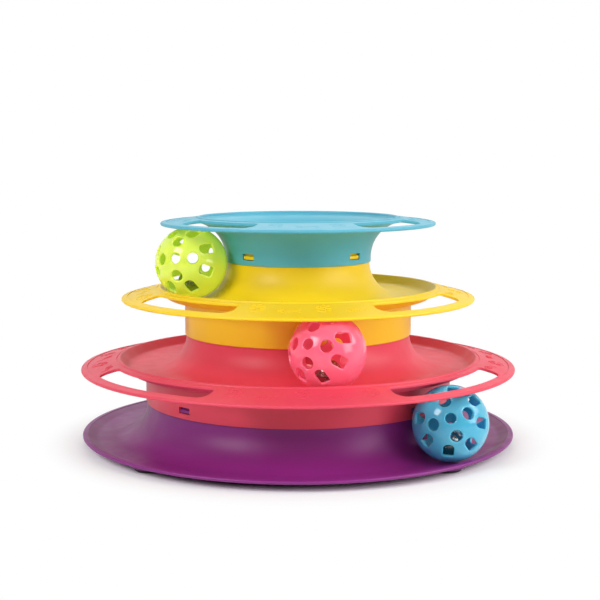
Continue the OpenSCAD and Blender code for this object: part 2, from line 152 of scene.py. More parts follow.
class Bench:
    """Modelling steps that the pieces share, done with Blender's own operators."""

    @staticmethod
    def clear() -> None:
        """Leaves edit mode and deselects everything."""
        if bpy.context.mode != "OBJECT":
            bpy.ops.object.mode_set(mode="OBJECT")
        bpy.ops.object.select_all(action="DESELECT")

    @staticmethod
    def pick(*things: Thing) -> None:
        """Selects these objects alone and makes the last one active."""
        Bench.clear()
        for thing in things:
            thing.select_set(True)
        bpy.context.view_layer.objects.active = things[-1]

    @staticmethod
    def edit(thing: Thing) -> None:
        """Opens an object in edit mode with all of it selected."""
        Bench.pick(thing)
        bpy.ops.object.mode_set(mode="EDIT")
        bpy.ops.mesh.select_mode(type="VERT")
        bpy.ops.mesh.select_all(action="SELECT")

    @staticmethod
    def done() -> Thing:
        """Goes back to object mode and returns the active object."""
        bpy.ops.object.mode_set(mode="OBJECT")
        return bpy.context.object

    @staticmethod
    def named(name: str) -> Thing:
        """Names the active object, whose place and turn go into its mesh."""
        bpy.ops.object.transform_apply(location=True, rotation=True, scale=True)
        thing = bpy.context.object
        thing.name = thing.data.name = name
        return thing

    @staticmethod
    def weld() -> None:
        """Selects the whole mesh being edited and merges what coincides."""
        bpy.ops.mesh.select_all(action="SELECT")
        bpy.ops.mesh.remove_doubles(threshold=SAME_PLACE * MM)

    @staticmethod
    def seal() -> Thing:
        """Closes the mesh being edited, with its faces pointing outwards, and leaves edit mode."""
        Bench.weld()
        bpy.ops.mesh.delete_loose(use_verts=True, use_edges=True, use_faces=False)
        bpy.ops.mesh.normals_make_consistent(inside=False)
        return Bench.done()

    @staticmethod
    def lathe(name: str, points: list[Point], steps: int) -> Thing:
        """Spins an outline once round the vertical axis into a closed solid.

        Args:
            name: Name of the new object.
            points: Corners of the outline, as distance from the axis and height.
            steps: Number of steps in the whole turn.

        Returns:
            The solid, with its faces pointing outwards.
        """
        places = [metres(x, 0, z) for x, z in points]
        Bench.clear()
        bpy.ops.mesh.primitive_plane_add(size=MM, location=places[0])
        Bench.edit(Bench.named(name))
        bpy.ops.mesh.merge(type="COLLAPSE")
        for here, there in zip(places, places[1:] + places[:1]):
            bpy.ops.mesh.extrude_region_move(TRANSFORM_OT_translate={"value": there - here})
        Bench.weld()
        bpy.ops.mesh.spin(steps=steps, angle=FULL_TURN, center=(0, 0, 0), axis=UP)
        return Bench.seal()

    @staticmethod
    def loft(name: str, loops: list[Loop], ring: bool = False) -> Thing:
        """Rolls a grid up into a solid that runs through a row of closed loops.

        Args:
            name: Name of the new object.
            loops: The loops, in metres, each with as many places as the others.
            ring: Joins the last loop to the first instead of closing both ends.

        Returns:
            The solid, with its faces pointing outwards.
        """
        rows = loops + loops[:1] if ring else loops
        Bench.clear()
        bpy.ops.mesh.primitive_grid_add(x_subdivisions=len(rows[0]), y_subdivisions=len(rows) - 1)
        thing = Bench.named(name)
        places = [place for row in rows for place in row + row[:1]]
        for vertex, place in zip(thing.data.vertices, places):
            vertex.co = place
        Bench.edit(thing)
        Bench.weld()
        bpy.ops.mesh.fill_holes(sides=0)
        return Bench.seal()

    @staticmethod
    def join(things: list[Thing], name: str) -> Thing:
        """Joins objects into one, which keeps the place of each and takes a new name."""
        Bench.pick(*things)
        if len(things) > 1:
            bpy.ops.object.join()
        return Bench.named(name)

    @staticmethod
    def copy(thing: Thing, name: str, place: Matrix) -> Thing:
        """Copies an object with a mesh of its own to a new place, which goes into the mesh.

        Args:
            thing: The object to copy.
            name: Name of the copy.
            place: Turn and shift from the original to the copy.

        Returns:
            The copy, standing at the origin.
        """
        Bench.pick(thing)
        bpy.ops.object.duplicate(linked=False)
        bpy.context.object.matrix_world = place
        return Bench.named(name)

    @staticmethod
    def copies(first: Thing, places: list[Matrix]) -> list[Thing]:
        """Copies an object to each of these places and takes the original away."""
        made = [Bench.copy(first, f"{first.name}_{i}", place) for i, place in enumerate(places)]
        bpy.data.objects.remove(first)
        return made

    @staticmethod
    def move(thing: Thing, shift: tuple[float, float, float]) -> None:
        """Moves an object's mesh, with the object left at the origin."""
        Bench.pick(thing)
        bpy.ops.transform.translate(value=shift)
        bpy.ops.object.transform_apply(location=True, rotation=True, scale=True)

    @staticmethod
    def combine(thing: Thing, tools: list[Thing], way: Join) -> None:
        """Cuts tools out of a solid or adds them to it, and takes the tools away.

        Args:
            thing: The solid that changes.
            tools: Solids that lie apart from each other.
            way: What the Boolean does.
        """
        tool = Bench.join(tools, f"{thing.name}_tool")
        Bench.pick(thing)
        step = thing.modifiers.new("combine", "BOOLEAN")
        step.operation = way.value
        step.solver = "EXACT"
        step.object = tool
        bpy.ops.object.modifier_apply(modifier=step.name)
        bpy.data.objects.remove(tool)

    @staticmethod
    def smooth(thing: Thing, crease: float = 32) -> None:
        """Shades a piece smooth up to a crease angle, with its broad faces left even."""
        Bench.pick(thing)
        bpy.ops.object.shade_smooth_by_angle(angle=math.radians(crease))
        step = thing.modifiers.new("even", "WEIGHTED_NORMAL")
        step.keep_sharp = True
        bpy.ops.object.modifier_apply(modifier=step.name)


@dataclass(frozen=True)
class Rim:
    """One rim of a hole, which comes out rounded, as a moulded edge is.

    Attributes:
        surface: Height of the wall's face at a place.
        ease: Radius of the rim.
        end_z: Height of the cutter's end beyond that face.
        side: 1 for the wall's upper face, -1 for its lower one.
        last_slope: Slope of the rim where it meets the face.
        steps: Number of steps in the rim.
        past: How far the cutter runs on past the face.
    """

    surface: Surface
    ease: float
    end_z: float
    side: int
    last_slope: float = 72
    steps: int = 5
    past: float = 0.25

    def rows(self) -> list[tuple[float, float, Surface]]:
        """Loops of the cutter, from the straight part past the face to its end.

        Returns:
            How far each loop is moved outwards, and how far it lies over which surface.
        """
        slopes = [math.radians(self.last_slope * i / self.steps) for i in range(self.steps + 1)]
        spots = [(self.ease * (1 - math.cos(a)), self.ease * (math.sin(a) - 1)) for a in slopes]
        out, rise = spots[-1]
        spots.append((out + self.past * math.sin(slopes[-1]), rise + self.past * math.cos(slopes[-1])))
        rows = [(offset, self.side * lift, self.surface) for offset, lift in spots]
        return [*rows, (out + self.past, 0, lambda place: self.end_z)]


def eased_cutter(name: str, outline: list[Point], upper: Rim, lower: Rim) -> Thing:
    """A cutter for a hole through a wall, which flares where it leaves either face.

    Args:
        name: Name of the cutter.
        outline: Outline of the hole, seen from above, anticlockwise.
        upper: The rim in the wall's upper face.
        lower: The rim in its lower face.

    Returns:
        The cutter, a closed solid.
    """
    corners = [Vector((x, y, 0)) for x, y in outline]
    count = len(corners)
    alongs = [corners[(i + 1) % count] - corners[i - 1] for i in range(count)]
    outwards = [along.cross(UP).normalized() for along in alongs]
    loops = []
    for offset, rise, surface in [*reversed(lower.rows()), *upper.rows()]:
        loop = [corner + outward * offset for corner, outward in zip(corners, outwards)]
        for place in loop:
            place.z = surface(place) + rise
        loops.append([place * MM for place in loop])
    return Bench.loft(name, loops)


def hex_colour(code: str) -> tuple[float, float, float, float]:
    """A colour written as six hexadecimal digits, made linear for a shader."""
    channels = [int(code[i : i + 2], 16) / 255 for i in (0, 2, 4)]
    linear = [c / 12.92 if c <= 0.04045 else ((c + 0.055) / 1.055) ** 2.4 for c in channels]
    return (*linear, 1.0)


class Nodes:
    """Nodes of one tree, added and linked in short steps."""

    def __init__(self, tree: bpy.types.NodeTree) -> None:
        """Takes a tree in hand."""
        self.tree = tree

    def add(self, kind: str, inputs: Inputs | None = None, **options: object) -> bpy.types.Node:
        """Adds a node.

        Args:
            kind: Type of the node.
            inputs: What goes into its sockets, by their names or numbers.
            options: Its options, by their names.

        Returns:
            The node.
        """
        node = self.tree.nodes.new(kind)
        for name, value in options.items():
            setattr(node, name, value)
        for key, value in (inputs or {}).items():
            self.feed(node.inputs[key], value)
        return node

    def feed(self, target: Socket, value: object) -> None:
        """Links a socket to another one, or sets its value."""
        if isinstance(value, Socket):
            self.tree.links.new(value, target)
        else:
            target.default_value = value

    def work_out(self, operation: str, first: Socket, second: Socket) -> Socket:
        """Makes one number of two."""
        return self.add("ShaderNodeMath", {0: first, 1: second}, operation=operation).outputs[0]


class Graph(Nodes):
    """The nodes of one material, with its Principled shader and the piece's own coordinates."""

    def __init__(self, name: str) -> None:
        """Starts a material of this name."""
        self.material = bpy.data.materials.new(name)
        self.material.use_nodes = True
        super().__init__(self.material.node_tree)
        self.shader = self.tree.nodes["Principled BSDF"]
        self.place = self.add("ShaderNodeTexCoord").outputs["Object"]

    def set(self, values: dict[str, object]) -> None:
        """Sets or links the shader's own sockets by their names."""
        for name, value in values.items():
            self.feed(self.shader.inputs[name], value)

    def noise(self, size: float, detail: float) -> Socket:
        """A noise pattern from 0 to 1, with features of this size in millimetres and finer layers."""
        inputs = {"Scale": 1 / (size * MM), "Detail": detail, "Vector": self.place}
        return self.add("ShaderNodeTexNoise", inputs).outputs["Fac"]

    def spread(self, value: Socket, low: float, high: float) -> Socket:
        """Maps the middle of a pattern's range to a range of values."""
        darkest, lightest = 0.3, 0.7
        inputs = {"Value": value, "From Min": darkest, "From Max": lightest, "To Min": low, "To Max": high}
        return self.add("ShaderNodeMapRange", inputs).outputs["Result"]

    def blend(self, amount: Socket, first: str, second: str) -> Socket:
        """Mixes two colours, written in hexadecimal digits, by an amount from 0 to 1."""
        inputs = {0: amount, 6: hex_colour(first), 7: hex_colour(second)}
        return self.add("ShaderNodeMix", inputs, data_type="RGBA").outputs[2]

    def relief(self, size: float, detail: float, depth: float, strength: float) -> None:
        """Adds noise bumps to the shader, over any bumps that it already has.

        Args:
            size: Size of the bumps, in millimetres.
            detail: Number of finer layers in them.
            depth: Their height, in millimetres.
            strength: How strongly they show.
        """
        height = self.noise(size, detail)
        node = self.add("ShaderNodeBump", {"Strength": strength, "Distance": depth * MM, "Height": height})
        normal = self.shader.inputs["Normal"]
        if normal.links:
            self.feed(node.inputs["Normal"], normal.links[0].from_socket)
        self.feed(normal, node.outputs["Normal"])


@dataclass(frozen=True)
class Finish:
    """A surface in patches of two shades, with an uneven gloss and fine bumps.

    Each noise is the size of its features, in millimetres, and its number of finer layers.

    Attributes:
        name: Name of the material.
        shade: Its colour.
        patch: Colour of its patches.
        patches: Noise that spreads the patches.
        gloss: Least and greatest roughness.
        smears: Noise that spreads the roughness.
        bumps: Noises that raise the surface, each with its height and how strongly it shows.
    """

    name: str
    shade: str
    patch: str
    patches: Noise
    gloss: Range
    smears: Noise
    bumps: tuple[Bump, ...]

    def others(self) -> dict[str, object]:
        """Other sockets of the shader that this finish sets."""
        return {}

    def material(self) -> bpy.types.Material:
        """Builds the material."""
        graph = Graph(self.name)
        shade = graph.blend(graph.noise(*self.patches), self.shade, self.patch)
        gloss = graph.spread(graph.noise(*self.smears), *self.gloss)
        for bump in self.bumps:
            graph.relief(*bump)
        graph.set({"Base Color": shade, "Roughness": gloss, **self.others()})
        return graph.material


@dataclass(frozen=True)
class TierPlastic(Finish):
    """Moulded plastic of the tiers: a fine eroded grain with a satin gloss and slow colour drift."""

    patches: Noise = (38, 2)
    gloss: Range = (0.4, 0.49)
    smears: Noise = (9, 4)
    bumps: tuple[Bump, ...] = ((0.45, 3, 0.02, 0.12), (14, 1, 0.12, 0.06))
    specular: float = 0.4

    def others(self) -> dict[str, object]:
        """Other sockets of the shader that this finish sets."""
        return {"Specular IOR Level": self.specular, "IOR": 1.5}


@dataclass(frozen=True)
class BallPlastic(Finish):
    """Soft glossy plastic of the balls, which lets some light through its thin wall, and glows with a painted
    light in its own colour.

    Attributes:
        glow: Colour of the light that spreads in the wall.
        painted_glow: Strength of a painted glow, an emission in the ball's own colour that stands in for
            light coming through from behind.
        depth: How far the light spreads in the wall.
    """

    patches: Noise = (12, 2)
    gloss: Range = (0.08, 0.17)
    smears: Noise = (4, 3)
    bumps: tuple[Bump, ...] = ((5, 2, 0.05, 0.08),)
    glow: str = "ffffff"
    painted_glow: float = 0
    depth: float = 6

    def others(self) -> dict[str, object]:
        """Other sockets of the shader that this finish sets."""
        return {
            "Subsurface Weight": 1.0,
            "Subsurface Radius": hex_colour(self.glow)[:3],
            "Subsurface Scale": self.depth * MM,
            # Painted glow: emission in the ball's own colour, which stands in for light that comes through
            # the shell from behind.
            "Emission Color": hex_colour(self.shade),
            "Emission Strength": self.painted_glow,
            "IOR": 1.5,
        }


@dataclass(frozen=True)
class BellMetal(Finish):
    """Plated sheet metal of the bells, bright but smudged."""

    name: str = "plated bell steel"
    shade: str = "c4c1b8"
    patch: str = "6f6a62"
    patches: Noise = (3, 4)
    gloss: Range = (0.12, 0.3)
    smears: Noise = (1.5, 3)
    bumps: tuple[Bump, ...] = ((0.9, 2, 0.03, 0.15),)

    def others(self) -> dict[str, object]:
        """Other sockets of the shader that this finish sets."""
        return {"Metallic": 1.0}


@dataclass(frozen=True)
class PelletSteel(BellMetal):
    """Dull rolled steel of the loose pellets."""

    name: str = "dull pellet steel"
    shade: str = "8d8b87"
    patch: str = "55524e"
    patches: Noise = (0.8, 4)
    gloss: Range = (0.35, 0.55)
    smears: Noise = (0.5, 3)
    bumps: tuple[Bump, ...] = ((0.4, 3, 0.03, 0.4),)


@dataclass(frozen=True)
class Rubber(Finish):
    """Black rubber of the foot pads, matt and slightly dusty."""

    name: str = "black pad rubber"
    shade: str = "141414"
    patch: str = "242321"
    patches: Noise = (2.5, 4)
    gloss: Range = (0.55, 0.75)
    smears: Noise = (1, 3)
    bumps: tuple[Bump, ...] = ((0.3, 3, 0.04, 0.4),)


def dress(thing: Thing, finish: Finish, body: str, nodes: list[str]) -> None:
    """Gives a finished piece its material and its body, and hides the CAD nodes that it stands for.

    Args:
        thing: The piece.
        finish: Its finish.
        body: Name of the body that it moves with.
        nodes: Names of the CAD nodes that it replaces.
    """
    thing.data.materials.clear()
    thing.data.materials.append(finish.material())
    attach(thing, body)
    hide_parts(*nodes)
    LOG.info("%s: %d faces, rides on %s", thing.name, len(thing.data.polygons), body)


@dataclass(frozen=True)
class Mould:
    """Sizes that all the tiers share, in millimetres and degrees."""

    wall: float = 1.6
    brim_wall: float = 1.5
    bead_h: float = 0.3
    crest_r: float = 1.2
    crest_end: float = 15
    band_w: float = 3.5
    band_round: float = 0.1
    groove_w: float = 0.6
    groove_depth: float = 0.3
    groove_side: float = 0.15
    band_groove: float = 0.12
    edge_r: float = 0.95
    bend_r: float = 5
    rise: float = 50
    channel_w: float = 38.6
    lip_h: float = 5.7
    skirt_round: float = 0.35
    skirt_step: float = 0.8
    ring_h: float = 9
    ring_root: float = 3
    fit_gap: float = 0.2
    slot_half_angle: float = 22.2
    slot_shift: float = 1.2
    slot_from_lip: float = 4
    slot_from_edge: float = 5.7
    slot_outer_round: float = 6
    slot_inner_round: float = 2.4
    slot_ease: float = 0.5
    slot_under_ease: float = 0.3
    window_w: float = 8.3
    window_h: float = 3.6
    window_z: float = 4.7
    window_round: float = 0.4
    lug_gap: float = 0.5
    lug_set_back: float = 0.5
    lug_ramp: float = 1.1
    steps: int = 240
    cutter_over: float = 4


@dataclass
class Brim:
    """The slotted brim round a lip: a shallow cone that falls from the lip to a banded, rounded edge."""

    lip_r: float
    lip_z: float
    edge: float
    fall: float
    mould: Mould = field(default_factory=Mould)

    @property
    def slope(self) -> float:
        """Fall of the brim per unit of its width."""
        return self.fall / (self.edge - self.lip_r)

    @property
    def lean(self) -> float:
        """Angle of the brim below level."""
        return math.degrees(math.atan(self.slope))

    def top(self, radius: float) -> float:
        """Height of the upper face at a radius."""
        return self.lip_z - self.mould.bead_h - self.slope * (radius - self.lip_r)

    def under(self, radius: float) -> float:
        """Height of the lower face at a radius."""
        return self.top(radius) - self.mould.brim_wall / math.cos(math.radians(self.lean))

    def top_points(self) -> list[Point]:
        """The upper face from just outside the lip's crest to the underside of the edge."""
        m = self.mould
        foot, band = self.lip_r + m.crest_r, self.edge - m.band_w
        edge_top = self.top(self.edge - m.edge_r) + m.bead_h
        even, side, round_r = m.groove_w, m.groove_side, m.band_round
        face = [(foot + side, -m.groove_depth), (foot + even - side, -m.groove_depth)]
        face += [(foot + even, 0), (foot + 2 * even, 0), ((foot + band) / 2, 0), (band - 2 * even, 0)]
        face += [(band - even, 0), (band - side, -m.band_groove), (band, -m.band_groove)]
        face += [(band, m.bead_h - round_r), (band + round_r, m.bead_h), (band + even, m.bead_h)]
        return [
            *arc((self.lip_r, self.lip_z - m.crest_r), m.crest_r, 90, m.crest_end, 10),
            *[(radius, self.top(radius) + rise) for radius, rise in face],
            *arc((self.edge - m.edge_r, edge_top - m.edge_r), m.edge_r, 90 - self.lean, -90, 15),
        ]

    def under_point(self) -> Point:
        """Where the thicker edge meets the lower face."""
        radius = self.edge - self.mould.band_w
        return (radius, self.under(radius))

    def slot_outline(self) -> list[Point]:
        """Outline of a hand slot about the +X axis: two arcs round the middle and straight ends."""
        m = self.mould
        half, centre, step = m.slot_half_angle, (0, 0), 360 / m.steps
        inner, outer = self.lip_r + m.slot_from_lip, self.edge - m.slot_from_edge
        outer_turn, outer_corner = self.corner(outer - m.slot_outer_round, m.slot_outer_round)
        inner_turn, inner_corner = self.corner(inner + m.slot_inner_round, m.slot_inner_round)
        upper = [
            *arc(centre, outer, 0, outer_turn, step),
            *arc(outer_corner, m.slot_outer_round, outer_turn, half + 90, 15)[1:],
            *arc(inner_corner, m.slot_inner_round, half + 90, inner_turn + 180, 30),
            *arc(centre, inner, inner_turn, 0, step)[1:],
        ]
        return [*upper, *[(x, -y) for x, y in reversed(upper[1:-1])]]

    def corner(self, middle_r: float, round_r: float) -> tuple[float, Point]:
        """A slot's rounded corner.

        Args:
            middle_r: Distance of the round's middle from the toy's.
            round_r: Radius of the round.

        Returns:
            The angle of the round's middle, and the middle.
        """
        turn = self.mould.slot_half_angle - math.degrees(math.asin(round_r / middle_r))
        place = math.radians(turn)
        return turn, (middle_r * math.cos(place), middle_r * math.sin(place))

    def slot_cutters(self, turn: float) -> list[Thing]:
        """Cutters for the four hand slots, with eased rims, turned with the tier and drawn to its sides."""
        m = self.mould
        high, low = self.lip_z + m.cutter_over, self.under(self.edge) - m.cutter_over
        upper = Rim(lambda place: self.top(place.xy.length), m.slot_ease, high, side=1)
        lower = Rim(lambda place: self.under(place.xy.length), m.slot_under_ease, low, side=-1)
        first = eased_cutter("slot", self.slot_outline(), upper, lower)
        shifts = (-m.slot_shift, m.slot_shift, -m.slot_shift, m.slot_shift)
        turns = [turn + EIGHTH + quarter + shift for quarter, shift in zip(QUARTERS, shifts)]
        return Bench.copies(first, [turned_z(angle) for angle in turns])


@dataclass
class SnapFit:
    """The ring on a neck with its four lugs, and the windows in the skirt that goes over it."""

    skirt_r: float
    seat_z: float
    turn: float
    mould: Mould = field(default_factory=Mould)

    @property
    def ring_r(self) -> float:
        """Outside radius of the ring."""
        return self.skirt_r - self.mould.wall - self.mould.fit_gap

    def neck_points(
        self, neck_r: float, neck_h: float, floor_z: float, widest: float = math.inf
    ) -> list[Point]:
        """The flared neck: up its outer face from the track, over the ring, and down inside.

        Args:
            neck_r: Radius of the neck at its shoulder.
            neck_h: Height of the neck over the track.
            floor_z: Height of the track's floor.
            widest: Radius that the inner face stays within.

        Returns:
            The points, from the foot of the outer face to the foot of the inner one.
        """
        m = self.mould
        flare = (neck_r + neck_h, floor_z + neck_h)
        top, root_z = self.seat_z + m.ring_h, self.seat_z - m.ring_root
        outer, inner = self.ring_r, self.ring_r - m.wall
        inside = arc(flare, neck_h + m.wall, 180, 270, 3)
        return [
            *arc(flare, neck_h, 270, 180, 3),
            (outer, self.seat_z),
            *arc((outer - m.skirt_round, top - m.skirt_round), m.skirt_round, 0, 90, 30),
            (inner, top),
            (inner, root_z),
            *[(radius, z) for radius, z in inside if z < root_z - m.wall / 2 and radius < widest],
        ]

    def skirt_foot(self) -> list[Point]:
        """The skirt's lower edge, from its inner corner round its outer one."""
        m = self.mould
        middle = (self.skirt_r - m.skirt_round, self.seat_z + m.skirt_round)
        return [(self.skirt_r - m.wall, self.seat_z), *arc(middle, m.skirt_round, 270, 360, 30)]

    def window_cutters(self) -> list[Thing]:
        """Cutters for the skirt's four windows, with rounded corners."""
        m = self.mould
        size = metres(m.wall + m.cutter_over, m.window_w, m.window_h)
        middle = metres(self.skirt_r - m.wall / 2, 0, self.seat_z + m.window_z)
        Bench.clear()
        bpy.ops.mesh.primitive_cube_add(size=1, location=middle, scale=size)
        window = Bench.named("window")
        Bench.edit(window)
        bpy.ops.mesh.select_all(action="DESELECT")
        Bench.done()
        for edge in window.data.edges:
            first, second = (window.data.vertices[i].co for i in edge.vertices)
            edge.select = abs(first.x - second.x) > m.wall * MM
        bpy.ops.object.mode_set(mode="EDIT")
        bpy.ops.mesh.select_mode(type="EDGE")
        bpy.ops.mesh.bevel(offset=m.window_round * MM, segments=3, affect="EDGES")
        return self.four(Bench.done())

    def lugs(self) -> list[Thing]:
        """The four snap lugs, each with a ramp that the skirt rides up."""
        m = self.mould
        root, tip = self.ring_r - m.wall / 2, self.skirt_r - m.lug_set_back
        low = self.seat_z + m.window_z - m.window_h / 2 + m.lug_gap
        high = low + m.window_h - 2 * m.lug_gap
        corners = [(root, low), (tip, low), (tip, high - m.lug_ramp), (root, high)]
        half = (m.window_w - 2 * m.lug_gap) / 2
        sides = [[metres(x, y, z) for x, z in corners] for y in (-half, half)]
        return self.four(Bench.loft("lug", sides))

    def four(self, first: Thing) -> list[Thing]:
        """Copies a thing at +X to the four places round the toy."""
        return Bench.copies(first, [turned_z(self.turn + quarter) for quarter in QUARTERS])


class Motif(Enum):
    """Raised line drawings on the brims."""

    PAW = "paw"
    FISHBONE = "fishbone"


@dataclass
class Relief:
    """Raised generic line drawings, scattered over the flats of a brim between its slots."""

    brim: Brim
    turn: float
    line_w: float = 0.4
    line_h: float = 0.21
    sunk: float = 0.12
    shoulder_w: float = 0.9
    shoulder_h: float = 0.6
    size: float = 9.6
    spacing: float = 14.5
    stagger: float = 1.4
    margin: float = 4.8
    tilt_steps: tuple[int, int] = (37, 23)
    most_tilt: int = 35

    def strokes(self, motif: Motif) -> list[Stroke]:
        """Lines of a motif one unit high, each with whether it closes."""
        if motif is Motif.PAW:
            toe_h = 1.35
            ring = arc((0, 0), 1, 0, 330, 30)
            toes = [(-0.36, 0.06, 0.11), (-0.14, 0.3, 0.13), (0.14, 0.3, 0.13), (0.36, 0.06, 0.11)]
            made = [[(x + r * px, y + toe_h * r * py) for px, py in ring] for x, y, r in toes]
            made.append([(0.27 * px, -0.24 + 0.19 * py) for px, py in arc((0, 0), 1, 0, 342, 18)])
            return [(points, True) for points in made]
        spine = [(-0.3, 0), (0.0, 0), (0.36, 0)]
        head = [(-0.3, 0.2), (-0.62, 0.0), (-0.3, -0.2)]
        tail = [(0.62, 0.2), (0.36, 0), (0.62, -0.2)]
        rib_lean = 0.05
        rib_sizes = ((-0.12, 0.2), (0.04, 0.17), (0.2, 0.12))
        ribs = [[(x - rib_lean, h), (x, 0), (x - rib_lean, -h)] for x, h in rib_sizes]
        return [(spine, False), (head, True), (tail, False), *[(rib, False) for rib in ribs]]

    def stroke(self, line: Stroke, angle: float, radius: float, tilt: float) -> Thing:
        """One raised line on the brim.

        Args:
            line: The line in the motif's own units, and whether it closes.
            angle: Angle of the motif round the toy.
            radius: Distance of the motif from the toy's middle.
            tilt: Turn of the motif in the brim's plane.

        Returns:
            The line, a low solid whose foot is sunk in the brim.
        """
        points, closes = line
        cos, sin = math.cos(math.radians(tilt)), math.sin(math.radians(tilt))
        flat = [Vector((x * cos - y * sin, x * sin + y * cos)) * self.size for x, y in points]
        count = len(flat)
        shoulder = (self.shoulder_w, self.line_h * self.shoulder_h)
        section = [(1, -self.sunk), shoulder, (0, self.line_h), (-shoulder[0], shoulder[1]), (-1, -self.sunk)]
        loops = []
        for i, here in enumerate(flat):
            before = flat[i - 1] if closes or i else here
            after = flat[(i + 1) % count] if closes or i < count - 1 else here
            along = (after - before).normalized()
            side = Vector((-along.y, along.x)) * self.line_w / 2
            spots = [(here + side * across, rise) for across, rise in section]
            loops.append([self.on_brim(spot, rise, angle, radius) for spot, rise in spots])
        return Bench.loft("stroke", loops, ring=closes)

    def on_brim(self, spot: Vector, rise: float, angle: float, radius: float) -> Vector:
        """Bends a spot of a flat drawing round the brim, at a height over its upper face."""
        out = radius - spot.y
        return around(angle + math.degrees(spot.x / out), out, self.brim.top(out) + rise)

    def lines(self) -> list[Thing]:
        """All the raised lines of the brim."""
        m = self.brim.mould
        inner, outer = self.brim.lip_r + m.slot_from_lip, self.brim.edge - m.slot_from_edge
        middle = (inner + outer) / 2
        half = EIGHTH - m.slot_half_angle - math.degrees((self.margin + self.size / 2) / middle)
        count = math.floor(2 * half / math.degrees(self.spacing / middle)) + 1
        made = []
        for side, quarter in enumerate(QUARTERS):
            for place in range(count):
                motif = Motif.PAW if (place + side) % 2 == 0 else Motif.FISHBONE
                angle = self.turn + quarter + half * (2 * place / (count - 1) - 1)
                radius = middle + self.stagger * (1 if place % 2 else -1)
                steps = place * self.tilt_steps[0] + side * self.tilt_steps[1]
                tilt = steps % (2 * self.most_tilt) - self.most_tilt
                made += [self.stroke(line, angle, radius, tilt) for line in self.strokes(motif)]
        return made


@dataclass
class Tier:
    """What all the tiers have: the CAD node, the piece that stands for it, and its finish."""

    node: str
    piece: str
    finish: Finish
    slot: Slot
    mould: Mould = field(default_factory=Mould, kw_only=True)

    def finished(self, thing: Thing) -> None:
        """Smooths and dresses the tier's mesh."""
        Bench.smooth(thing)
        dress(thing, self.finish, Body.TOWER.value, [self.node])


@dataclass
class Storey(Tier):
    """A middle storey: skirt with windows, ball track, lip, slotted brim, and the ring on its neck."""

    skirt_r: float
    next_skirt_r: float
    neck_h: float
    fall: float
    turn: float
    window_turn: float
    lug_turn: float

    def outline(
        self, neck_r: float, floor_z: float, brim: Brim, skirt: SnapFit, ring: SnapFit
    ) -> list[Point]:
        """The storey's whole cross-section, as one closed outline.

        Args:
            neck_r: Radius of the neck at its shoulder.
            floor_z: Height of the track's floor.
            brim: The brim.
            skirt: The skirt.
            ring: The ring on the neck.

        Returns:
            The points of the outline, anticlockwise.
        """
        m = self.mould
        rise = math.radians(m.rise)
        bend_up, crest_up = m.bend_r * (1 - math.cos(rise)), m.crest_r * (1 - math.cos(rise))
        back = (m.crest_r + m.bend_r) * math.sin(rise) + (m.lip_h - crest_up - bend_up) / math.tan(rise)
        bend = (brim.lip_r - back, floor_z + m.bend_r)
        turn_r = m.bend_r + m.wall
        leave = (bend[0] + turn_r * math.sin(rise), bend[1] - turn_r * math.cos(rise))
        edge_r, edge_z = brim.under_point()
        steep = math.tan(rise)
        corner_r = (edge_z + brim.slope * edge_r - leave[1] + steep * leave[0]) / (steep + brim.slope)
        under = floor_z - m.wall
        return [
            *skirt.skirt_foot(),
            (self.skirt_r, under),
            *arc(bend, turn_r, 270, 270 + m.rise),
            (corner_r, brim.under(corner_r)),
            (edge_r, edge_z),
            *reversed(brim.top_points()),
            *arc((brim.lip_r, brim.lip_z - m.crest_r), m.crest_r, 90, 90 + m.rise, 10)[1:],
            *arc(bend, m.bend_r, 270 + m.rise, 270),
            *ring.neck_points(neck_r, self.neck_h, floor_z, self.skirt_r - 2 * m.wall),
            (self.skirt_r - m.wall, under),
        ]

    def build(self) -> None:
        """Models the storey and dresses it."""
        m = self.mould
        low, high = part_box(self.node)
        seat_z, top_z, edge = low.z / MM, high.z / MM, high.x / MM
        shoulder_z = top_z - m.ring_h
        floor_z = shoulder_z - self.neck_h
        neck_r = self.next_skirt_r - m.skirt_step
        brim = Brim(neck_r + m.channel_w, floor_z + m.lip_h, edge, self.fall)
        ring = SnapFit(self.next_skirt_r, shoulder_z, self.lug_turn)
        skirt = SnapFit(self.skirt_r, seat_z, self.turn + self.window_turn)
        thing = Bench.lathe(self.piece, self.outline(neck_r, floor_z, brim, skirt, ring), m.steps)
        Bench.combine(thing, brim.slot_cutters(self.turn) + skirt.window_cutters(), Join.CUT)
        Bench.combine(thing, ring.lugs(), Join.ADD)
        self.finished(Bench.join([*Relief(brim, self.turn).lines(), thing], self.piece))


